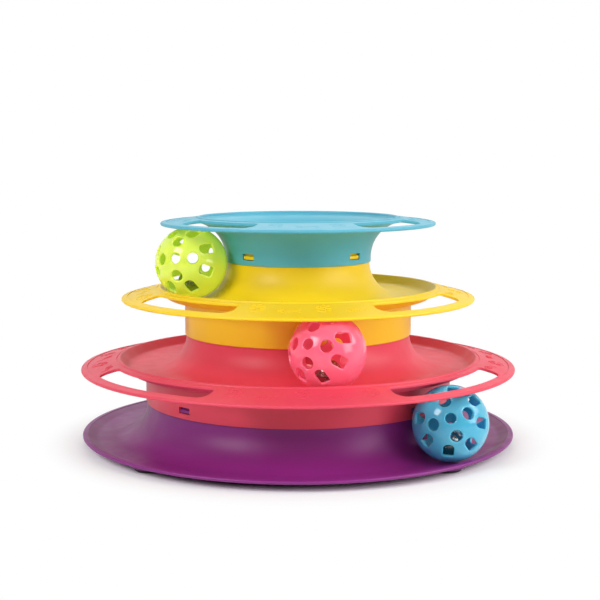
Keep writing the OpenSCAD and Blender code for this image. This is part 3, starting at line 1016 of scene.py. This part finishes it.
@dataclass
class Base(Tier):
    """The base: the widest track, with an upturned edge, sockets for the foot pads, and a neck."""

    next_skirt_r: float
    lug_turn: float
    neck_h: float = 20.1
    edge_h: float = 2.5
    bend_r: float = 6
    rise: float = 28
    line_w: float = 0.5
    line_depth: float = 0.25
    foot_inset: float = 15.5
    socket_r: float = 10.8
    socket_steps: int = 48
    recess_r: float = 9.4
    socket_lip: float = 1
    lip_shown: float = 0.3

    def outline(self, edge: float, floor_z: float, ring: SnapFit) -> list[Point]:
        """The base's whole cross-section, as one closed outline.

        Args:
            edge: Radius of the edge.
            floor_z: Height of the track's floor.
            ring: The ring on the neck.

        Returns:
            The points of the outline.
        """
        m = self.mould
        rise = math.radians(self.rise)
        edge_z, band = floor_z + self.edge_h, edge - m.band_w
        bend_up = self.bend_r * (1 - math.cos(rise))
        run = (self.edge_h - bend_up) / math.tan(rise) + self.bend_r * math.sin(rise)
        bend = (band - run, floor_z + self.bend_r)
        return [
            *arc(bend, self.bend_r + m.wall, 270, 270 + self.rise),
            (band, edge_z - m.wall),
            *arc((edge - m.edge_r, edge_z - m.edge_r), m.edge_r, -90, 90, 15),
            (band + self.line_w, edge_z),
            (band + self.line_w, edge_z - self.line_depth),
            (band, edge_z - self.line_depth),
            *arc(bend, self.bend_r, 270 + self.rise, 270),
            *ring.neck_points(self.next_skirt_r - m.skirt_step, self.neck_h, floor_z),
        ]

    def sockets(self, edge: float, floor_z: float, foot_top: float) -> list[Thing]:
        """The four bosses that hold the foot pads, each with a lip round its pad."""
        top, lip_z = floor_z - self.mould.wall / 2, foot_top - self.lip_shown
        recess = [(0, foot_top), (self.recess_r, foot_top), (self.recess_r, lip_z)]
        wall = [(self.socket_r, lip_z), (self.socket_r, top), (0, top)]
        first = Bench.lathe("socket", recess + wall, self.socket_steps)
        place = Matrix.Translation(metres(edge - self.foot_inset, 0, 0))
        return Bench.copies(first, [turned_z(EIGHTH + quarter) @ place for quarter in QUARTERS])

    def build(self) -> None:
        """Models the base and dresses it."""
        m = self.mould
        low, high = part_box(self.node)
        edge, shoulder_z = high.x / MM, high.z / MM - m.ring_h
        floor_z = shoulder_z - self.neck_h
        ring = SnapFit(self.next_skirt_r, shoulder_z, self.lug_turn)
        thing = Bench.lathe(self.piece, self.outline(edge, floor_z, ring), m.steps)
        Bench.combine(thing, self.sockets(edge, floor_z, low.z / MM + self.socket_lip), Join.ADD)
        Bench.combine(thing, ring.lugs(), Join.ADD)
        self.finished(thing)


@dataclass
class TopTier(Tier):
    """The top tier: a flared skirt with windows, a slotted brim, and a dish inside its lip."""

    skirt_r: float
    lip_r: float
    fall: float
    turn: float
    straight_h: float = 2.5
    lip_rise: float = 2.5
    join: float = 3.3
    inner_bevel: float = 1.1
    dish_gap: float = 0.8
    dish_t: float = 1.8
    dish_round: float = 1.6
    dish_ease: Point = (0.45, 0.28)
    window_turn: float = EIGHTH
    line_h: float = 0.08

    def outline(self, seat_z: float, brim: Brim, skirt: SnapFit) -> list[Point]:
        """The tier's whole cross-section, from the skirt's edge over the brim into the dish.

        Args:
            seat_z: Height of the skirt's lower edge.
            brim: The brim.
            skirt: The skirt.

        Returns:
            The points of the outline.
        """
        m = self.mould
        straight_z = seat_z + self.straight_h
        flare_r = brim.lip_z - self.lip_rise - straight_z
        flare = (self.skirt_r + flare_r, straight_z)
        inside_r = flare_r + m.wall
        under_z = seat_z + m.ring_h + self.dish_gap
        floor_z = under_z + self.dish_t

        def lean(height: float) -> float:
            """Angle on the flare's inner face at a height."""
            return 180 - math.degrees(math.asin((height - straight_z) / inside_r))

        lip_in = brim.lip_r - m.crest_r - self.inner_bevel
        join_angle = math.degrees(math.acos((brim.lip_r + self.join - flare[0]) / flare_r))
        start_angle = math.degrees(math.acos((lip_in - flare[0]) / inside_r))
        foot_z = floor_z + self.dish_round
        foot_r = flare[0] - math.sqrt(inside_r**2 - (foot_z - straight_z) ** 2)
        ease_in, ease_up = (self.dish_round * share for share in self.dish_ease)
        return [
            *skirt.skirt_foot(),
            *arc(flare, flare_r, 180, join_angle, 3),
            brim.under_point(),
            *reversed(brim.top_points()),
            *arc((brim.lip_r, brim.lip_z - m.crest_r), m.crest_r, 90, 180, 10)[1:],
            *arc(flare, inside_r, start_angle, lean(foot_z), 3),
            (foot_r - ease_in, floor_z + ease_up),
            (foot_r - self.dish_round, floor_z),
            (0, floor_z),
            (0, under_z),
            *arc(flare, inside_r, lean(under_z), 180, 3),
        ]

    def build(self) -> None:
        """Models the top tier and dresses it."""
        low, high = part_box(self.node)
        seat_z = low.z / MM
        brim = Brim(self.lip_r, high.z / MM, high.x / MM, self.fall)
        skirt = SnapFit(self.skirt_r, seat_z, self.turn + self.window_turn)
        thing = Bench.lathe(self.piece, self.outline(seat_z, brim, skirt), self.mould.steps)
        Bench.combine(thing, brim.slot_cutters(self.turn) + skirt.window_cutters(), Join.CUT)
        lines = Relief(brim, self.turn, line_h=self.line_h).lines()
        self.finished(Bench.join([*lines, thing], self.piece))


@dataclass
class FootPad:
    """A rubber foot pad: a low disc with a rounded tread edge and a shallow suction hollow."""

    node: str
    piece: str
    round_r: float = 0.7
    hollow_r: float = 5.2
    hollow_depth: float = 0.5
    ring_w: float = 1.1
    steps: int = 72

    def build(self) -> None:
        """Models the pad in place and dresses it."""
        low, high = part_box(self.node)
        middle = (low + high) / 2
        radius, height = (high.x - low.x) / 2 / MM, high.z / MM
        points = [
            (0, self.hollow_depth),
            (self.hollow_r - self.hollow_depth, self.hollow_depth),
            *arc((self.hollow_r, 0), self.hollow_depth, 120, 30, 30),
            (self.hollow_r + self.ring_w, 0),
            *arc((radius - self.round_r, self.round_r), self.round_r, 270, 360, 18),
            *arc((radius - self.round_r / 3, height - self.round_r / 3), self.round_r / 3, 0, 90, 30),
            (0, height),
        ]
        pad = Bench.lathe(self.piece, points, self.steps)
        Bench.move(pad, (middle.x, middle.y, 0))
        Bench.smooth(pad)
        dress(pad, Rubber(), Body.TOWER.value, [self.node])


@dataclass
class HalfShell:
    """Half of a ball, pole up, with rings of holes that have rounded rims."""

    tongue: bool
    ball_r: float = 20.3
    wall: float = 1.5
    pole_hole_d: float = 5.6
    round_hole_d: float = 6.4
    round_hole_angle: float = 28.5
    arch_w: float = 5.6
    arch_h: float = 8.6
    arch_angle: float = 53.8
    arch_turn: float = 22.5
    ease: float = 0.75
    inner_ease: float = 0.3
    seam: float = 0.22
    lap_h: float = 1.2
    lap_t: float = 0.7
    lap_gap: float = 0.1
    steps: int = 120
    same_r: float = 0.03
    crease: float = 40

    @property
    def inner_r(self) -> float:
        """Inside radius."""
        return self.ball_r - self.wall

    def outline(self) -> list[Point]:
        """Cross-section of the half shell, with its lap at the seam."""
        centre = (0, 0)
        seam = math.degrees(self.seam / self.ball_r)
        outer = [*arc(centre, self.ball_r, 90, seam, 3), (self.ball_r - self.seam, 0)]
        lap_r = self.inner_r + self.lap_t
        if self.tongue:
            lap = [(lap_r, 0), (lap_r, -self.lap_h), (self.inner_r, -self.lap_h), (self.inner_r, 0)]
            return [*outer, *lap, *arc(centre, self.inner_r, 0, 90, 3)[1:]]
        lap_r, lap_h = lap_r + self.lap_gap, self.lap_h + self.lap_gap
        start = math.degrees(math.asin(lap_h / self.inner_r))
        return [*outer, (lap_r, 0), (lap_r, lap_h), *arc(centre, self.inner_r, start, 90, 3)]

    def arch(self) -> list[Point]:
        """Outline of an arched window, its round end towards the pole, with eased corners."""
        half, corner = self.arch_w / 2, self.arch_w / 6
        foot = self.arch_h / 2
        return [
            *arc((half - foot, 0), half, 90, 270, 12),
            *arc((foot - corner, corner - half), corner, 270, 360, 30),
            *arc((foot - corner, half - corner), corner, 0, 90, 30),
        ]

    def cutter(self, name: str, outline: list[Point]) -> Thing:
        """A cutter at the pole with this outline, eased where it leaves the shell."""

        def dome(radius: float) -> Surface:
            """Height of the sphere of a radius."""
            return lambda place: math.sqrt(max(0.0, radius**2 - place.xy.length_squared))

        upper = Rim(dome(self.ball_r), self.ease, self.ball_r + self.wall, side=1)
        lower = Rim(dome(self.inner_r), self.inner_ease, self.inner_r / 2, side=-1)
        return eased_cutter(name, outline, upper, lower)

    def cutters(self) -> list[Thing]:
        """Cutters for all the holes of the half shell."""

        def ring(diameter: float) -> list[Point]:
            """A round outline."""
            return arc((0, 0), diameter / 2, 0, 360, 10)[:-1]

        def places(lean: float, turns: list[float]) -> list[Matrix]:
            """Places round the pole, this far down from it."""
            return [turned_z(turn) @ Matrix.Rotation(math.radians(lean), 4, "Y") for turn in turns]

        pole_hole = self.cutter("pole_hole", ring(self.pole_hole_d))
        holes = self.cutter("round_hole", ring(self.round_hole_d))
        arches = self.cutter("arch", self.arch())
        arch_turns = [turn + self.arch_turn for turn in range(0, 360, EIGHTH)]
        return [
            pole_hole,
            *Bench.copies(holes, places(self.round_hole_angle, QUARTERS)),
            *Bench.copies(arches, places(self.arch_angle, arch_turns)),
        ]

    def build(self, name: str) -> Thing:
        """Models the half shell round the origin, with its pole up.

        Args:
            name: Name of the new object.

        Returns:
            The half shell, not yet dressed.
        """
        thing = Bench.lathe(name, self.outline(), self.steps)
        Bench.combine(thing, self.cutters(), Join.CUT)
        Bench.pick(thing)
        bpy.ops.object.shade_smooth_by_angle(angle=math.radians(self.crease))
        self.true_normals(thing)
        return thing

    def true_normals(self, thing: Thing) -> None:
        """Points the shading normals of the sphere's faces straight out from its middle."""
        mesh = thing.data
        on_sphere = [abs(v.co.length / MM - self.ball_r) < self.same_r for v in mesh.vertices]
        normals = [Vector((0, 0, 0))] * len(mesh.loops)
        for face in mesh.polygons:
            if all(on_sphere[i] for i in face.vertices):
                for loop in face.loop_indices:
                    normals[loop] = mesh.vertices[mesh.loops[loop].vertex_index].co.normalized()
        mesh.normals_split_custom_set(normals)


@dataclass
class Bell:
    """The jingle bell in a ball: a crimped dome with its loop, a slotted cup, and a loose pellet."""

    colour: str
    radius: float = 7.5
    wall: float = 0.6
    crimp_w: float = 0.7
    loop_r: float = 1.5
    wire_r: float = 0.4
    loop_sink: float = 0.5
    slot_w: float = 1.3
    slot_end_r: float = 1.3
    slot_reach: float = 4
    pellet_r: float = 2.2
    pellet_gap: float = 0.3
    pellet_dents: float = 0.12
    cutter_over: float = 1
    steps: int = 72

    def half(self, name: str, side: int) -> Thing:
        """One pressed half of the bell, with its share of the crimped rim.

        Args:
            name: Name of the half.
            side: 1 for the dome, -1 for the cup.

        Returns:
            The half, made round the bell's own middle.
        """
        rim, inner = self.radius + self.crimp_w, self.radius - self.wall
        lift = self.wall / 2
        start = math.degrees(math.asin((self.wall + lift) / self.radius))
        points = [
            *arc((0, 0), inner, 90, 0, 6),
            (rim - lift, 0),
            *arc((rim - lift, lift), lift, 270, 450, 30)[1:],
            *arc((0, 0), self.radius, start, 90, 6),
        ]
        return Bench.lathe(name, [(r, side * z) for r, z in points], self.steps)

    def dome(self, name: str) -> Thing:
        """The upper half with its wire loop."""
        thing = self.half(name, 1)
        Bench.clear()
        bpy.ops.mesh.primitive_torus_add(
            location=metres(0, 0, self.radius + self.loop_r - self.loop_sink),
            rotation=(math.pi / 2, 0, 0),
            major_radius=self.loop_r * MM,
            minor_radius=self.wire_r * MM,
            major_segments=36,
            minor_segments=12,
        )
        Bench.combine(thing, [Bench.named("bell_loop")], Join.ADD)
        return thing

    def cup(self, name: str) -> Thing:
        """The lower half with its two crossed slots, which end in round holes."""
        thing = self.half(name, -1)
        half = self.slot_w / 2
        bite = math.degrees(math.asin(half / self.slot_end_r))
        ends = [(side * self.slot_reach, 0) for side in (1, -1)]
        outline = [
            *arc(ends[0], self.slot_end_r, bite - 180, 180 - bite, 24),
            *arc(ends[1], self.slot_end_r, bite, 360 - bite, 24),
        ]
        ends_z = (-self.radius - self.cutter_over, -2 * self.wall)
        loops = [[metres(x, y, z) for x, y in outline] for z in ends_z]
        for turn in (0, QUARTER):
            Bench.combine(thing, Bench.copies(Bench.loft("bell_slot", loops), [turned_z(turn)]), Join.CUT)
        return thing

    def pellet(self, name: str) -> Thing:
        """The loose pellet, a slug of steel rolled not quite round."""
        low = -self.radius + self.wall + self.pellet_gap
        Bench.clear()
        place = metres(0, 0, low + self.pellet_r)
        bpy.ops.mesh.primitive_ico_sphere_add(subdivisions=4, radius=self.pellet_r * MM, location=place)
        Bench.edit(Bench.named(name))
        bpy.ops.transform.vertex_random(offset=self.pellet_dents * MM, uniform=1, normal=0, seed=4)
        bpy.ops.mesh.vertices_smooth(factor=0.5, repeat=3)
        return Bench.done()

    def build(self) -> None:
        """Models the three pieces of the bell in place and dresses them."""
        low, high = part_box(f"{self.colour}_bell_top")
        middle = (low + high) / 2
        middle.z = low.z
        body = f"{self.colour}_bell"
        pieces = [
            (self.dome(f"{body}_dome"), f"{body}_top", BellMetal(), Slot.BELL),
            (self.cup(f"{body}_cup"), f"{body}_bottom", BellMetal(), Slot.BELL),
            (self.pellet(f"{body}_slug"), f"{body}_pellet", PelletSteel(), Slot.PELLET),
        ]
        for thing, node, finish, slot in pieces:
            Bench.move(thing, middle)
            Bench.smooth(thing)
            dress(thing, finish, body, [node])


@dataclass
class Ball:
    """A ball: two half shells of one colour, snapped together round a bell.

    Attributes:
        colour: First word of the names of its nodes and joints.
        finish: Its plastic.
        slot: The record's slot for that plastic. Not used.
        turn: How far its front pole is swung round the vertical, raised, and spun about itself.
        back_turn: How far the back half is turned against the front one.
    """

    colour: str
    finish: Finish
    slot: Slot
    turn: tuple[float, float, float]
    back_turn: float

    def place(self) -> Matrix:
        """Turn and place of the ball, from the joint that it rolls on."""
        joint = next(j for j in frame["joints"] if j["name"] == f"{self.colour}_roll")
        swing, rise, spin = self.turn
        tip = Matrix.Rotation(math.pi / 2 - math.radians(rise), 4, "X")
        return Matrix.Translation(joint["pos_m"]) @ (turned_z(swing) @ (tip @ turned_z(spin)))

    def build(self, front: Thing, back: Thing) -> None:
        """Copies both half shells to the ball's place, dresses them, and adds the bell.

        Args:
            front: Half shell with the tongue, pole up at the origin.
            back: Half shell with the groove, pole up at the origin.
        """
        body = f"{self.colour}_ball"
        place = self.place()
        over = Matrix.Rotation(math.pi, 4, "X") @ turned_z(self.back_turn)
        for side, shell, spot in (("front", front, place), ("back", back, place @ over)):
            thing = Bench.copy(shell, f"{self.colour}_{side}_half", spot)
            dress(thing, self.finish, body, [f"{body}_{side}_shell"])
        Bell(self.colour).build()


@dataclass
class Studio:
    """A pale floor under soft studio light, seen from the photograph's viewpoint."""

    camera_place: tuple[float, float, float] = (0, -0.7325, 0.17026)
    look_down: float = 6.968
    lens: float = 76.24
    sensor: float = 36
    shift_x: float = 0.0033
    floor_r: float = 4.0
    floor_fade: tuple[float, float] = (0.11, 0.15)
    lamp_distance: float = 1.6
    aim: tuple[float, float, float] = (0, 0, 0.06)
    ambient: float = 0.06
    glossy_front: float = 0.13
    glossy_back: float = 1.0

    def placed(self, name: str, data: bpy.types.ID) -> Thing:
        """Puts a camera or a lamp into the scene."""
        thing = bpy.data.objects.new(name, data)
        bpy.context.scene.collection.objects.link(thing)
        return thing

    def camera(self) -> None:
        """Adds the camera."""
        data = bpy.data.cameras.new("view")
        camera = self.placed("view", data)
        camera.location = self.camera_place
        camera.rotation_euler = (math.radians(90 - self.look_down), 0, 0)
        data.lens = self.lens
        data.sensor_width = self.sensor
        data.shift_x = self.shift_x
        bpy.context.scene.camera = camera

    def softbox(self, name: str, angle: float, height: float, size: float, power: float) -> None:
        """Adds a square softbox that faces the toy.

        Args:
            name: Name of the lamp.
            angle: Its angle round the toy, from the front.
            height: Its angle above level.
            size: Width of the square, in metres.
            power: Power in watts.
        """
        lamp = bpy.data.lights.new(name, "AREA")
        lamp.shape = "SQUARE"
        lamp.size = size
        lamp.energy = power
        turn, lift = math.radians(angle), math.radians(height)
        away = Vector((math.sin(turn) * math.cos(lift), -math.cos(turn) * math.cos(lift), math.sin(lift)))
        thing = self.placed(name, lamp)
        thing.location = Vector(self.aim) + away * self.lamp_distance
        thing.rotation_euler = away.to_track_quat("Z", "Y").to_euler()

    def lamps(self) -> None:
        """Adds the softboxes."""
        self.softbox("left_softbox", -48, 34, 0.7, 15)
        self.softbox("right_low_softbox", 62, 17, 0.7, 7.7)
        self.softbox("right_high_softbox", 50, 40, 0.7, 5)
        self.softbox("right_side_softbox", 85, 30, 0.7, 7.9)
        self.softbox("front_softbox", 0, 35, 1, 3)
        self.softbox("back_softbox", 180, 50, 1, 8)

    def world(self) -> None:
        """White to the camera and behind the toy, dim in front, and even for soft light."""
        world = bpy.data.worlds.new("studio")
        bpy.context.scene.world = world
        world.use_nodes = True
        world.node_tree.nodes.clear()
        nodes = Nodes(world.node_tree)
        split = nodes.add("ShaderNodeSeparateXYZ", {0: nodes.add("ShaderNodeTexCoord").outputs["Generated"]})
        ends = {"From Min": -0.5, "From Max": 0.5, "To Min": self.glossy_front, "To Max": self.glossy_back}
        depth = nodes.add("ShaderNodeMapRange", {"Value": split.outputs["Y"], **ends})
        path = nodes.add("ShaderNodeLightPath").outputs
        mirrored = {0: path["Is Glossy Ray"], 2: self.ambient, 3: depth.outputs["Result"]}
        shiny = nodes.add("ShaderNodeMix", mirrored)
        seen = nodes.work_out("MAXIMUM", path["Is Camera Ray"], path["Is Transmission Ray"])
        strength = nodes.add("ShaderNodeMix", {0: seen, 2: shiny.outputs[0], 3: 1.0})
        sky = nodes.add("ShaderNodeBackground", {"Color": WHITE, "Strength": strength.outputs[0]})
        nodes.add("ShaderNodeOutputWorld", {"Surface": sky.outputs[0]})

    def floor(self) -> None:
        """A pale floor that keeps the toy's shadow and is white further out."""
        Bench.clear()
        bpy.ops.mesh.primitive_circle_add(vertices=96, radius=self.floor_r, fill_type="NGON")
        thing = Bench.named("floor")
        graph = Graph("pale floor")
        length = graph.add("ShaderNodeVectorMath", {0: graph.place}, operation="LENGTH").outputs["Value"]
        ends = {"Value": length, "From Min": self.floor_fade[0], "From Max": self.floor_fade[1]}
        fade = graph.add("ShaderNodeMapRange", ends, interpolation_type="SMOOTHSTEP")
        path = graph.add("ShaderNodeLightPath").outputs
        seen = graph.work_out("MAXIMUM", path["Is Camera Ray"], path["Is Transmission Ray"])
        shiny = graph.work_out("MAXIMUM", seen, path["Is Glossy Ray"])
        share = graph.work_out("MULTIPLY", fade.outputs["Result"], shiny)
        white = graph.add("ShaderNodeEmission", {"Color": WHITE})
        mix = graph.add("ShaderNodeMixShader", {0: share, 1: graph.shader.outputs[0], 2: white.outputs[0]})
        graph.set({"Base Color": (0.98, 0.98, 0.98, 1), "Roughness": 0.6, "Specular IOR Level": 0.2})
        graph.feed(graph.tree.nodes["Material Output"].inputs["Surface"], mix.outputs[0])
        thing.data.materials.append(graph.material)

    def build(self) -> None:
        """Sets up the view, the light and the floor."""
        bpy.context.scene.view_settings.view_transform = "Standard"
        self.camera()
        self.lamps()
        self.world()
        self.floor()


def tiers() -> list[Base | Storey | TopTier]:
    """The four tiers, from the ground up."""
    purple = TierPlastic("purple moulded plastic", "882781", "822479")
    red = TierPlastic("coral red moulded plastic", "e8485f", "e2435a")
    yellow = TierPlastic("sunny yellow moulded plastic", "fdd416", "f9ce13")
    teal = TierPlastic("teal moulded plastic", "58b2c9", "53adc4")
    lower_r, middle_r, top_r = 88.2, 65.4, 42.0
    lower, middle, top = 1.2, 2.8, 4.0
    coral_shape = {"neck_h": 18.6, "fall": 5.5, "turn": lower, "window_turn": EIGHTH, "lug_turn": middle}
    sunny_shape = {"neck_h": 19.8, "fall": 6.0, "turn": middle, "window_turn": 0, "lug_turn": top + EIGHTH}
    return [
        Base("base_tier", "purple_base", purple, Slot.PURPLE, lower_r, lug_turn=lower + EIGHTH),
        Storey("lower_tier", "red_tier", red, Slot.RED, lower_r, middle_r, **coral_shape),
        Storey("middle_tier", "yellow_tier", yellow, Slot.YELLOW, middle_r, top_r, **sunny_shape),
        TopTier("top_tier", "teal_tier", teal, Slot.TEAL, top_r, lip_r=57.2, fall=3.1, turn=top),
    ]


def balls() -> list[Ball]:
    """The three balls, from the top track down."""
    # Each ball's plastic also has a painted glow, an emission in its own colour, on top of the light that
    # spreads in its wall.
    green = BallPlastic("lime ball plastic", "deff60", "d4f856", glow="dcf060", painted_glow=0.11)
    pink = BallPlastic("pink ball plastic", "ff6e88", "fc6480", glow="ff7088", painted_glow=0.13)
    blue = BallPlastic("aqua ball plastic", "5cb8d6", "52b0ce", glow="70c8e0", painted_glow=0.03)
    return [
        Ball("green", green, Slot.GREEN_BALL, turn=(-21.6, 12.2, 3.4), back_turn=35),
        Ball("pink", pink, Slot.PINK_BALL, turn=(-32.8, 19.7, 1), back_turn=57),
        Ball("blue", blue, Slot.BLUE_BALL, turn=(-6.8, 19.7, 19.3), back_turn=67.5),
    ]


def main() -> None:
    """Builds the studio, the tiers, the pads, the balls and their bells."""
    logging.basicConfig(level=logging.INFO, format="%(name)s: %(message)s")
    Studio().build()
    for tier in tiers():
        tier.build()
    for corner in ("front_left", "front_right", "back_left", "back_right"):
        FootPad(f"foot_{corner}", f"foot_pad_{corner}").build()
    front, back = HalfShell(True).build("front_half"), HalfShell(False).build("back_half")
    for ball in balls():
        ball.build(front, back)
    bpy.data.objects.remove(front)
    bpy.data.objects.remove(back)


if __name__ == "__main__":
    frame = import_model()
    main()
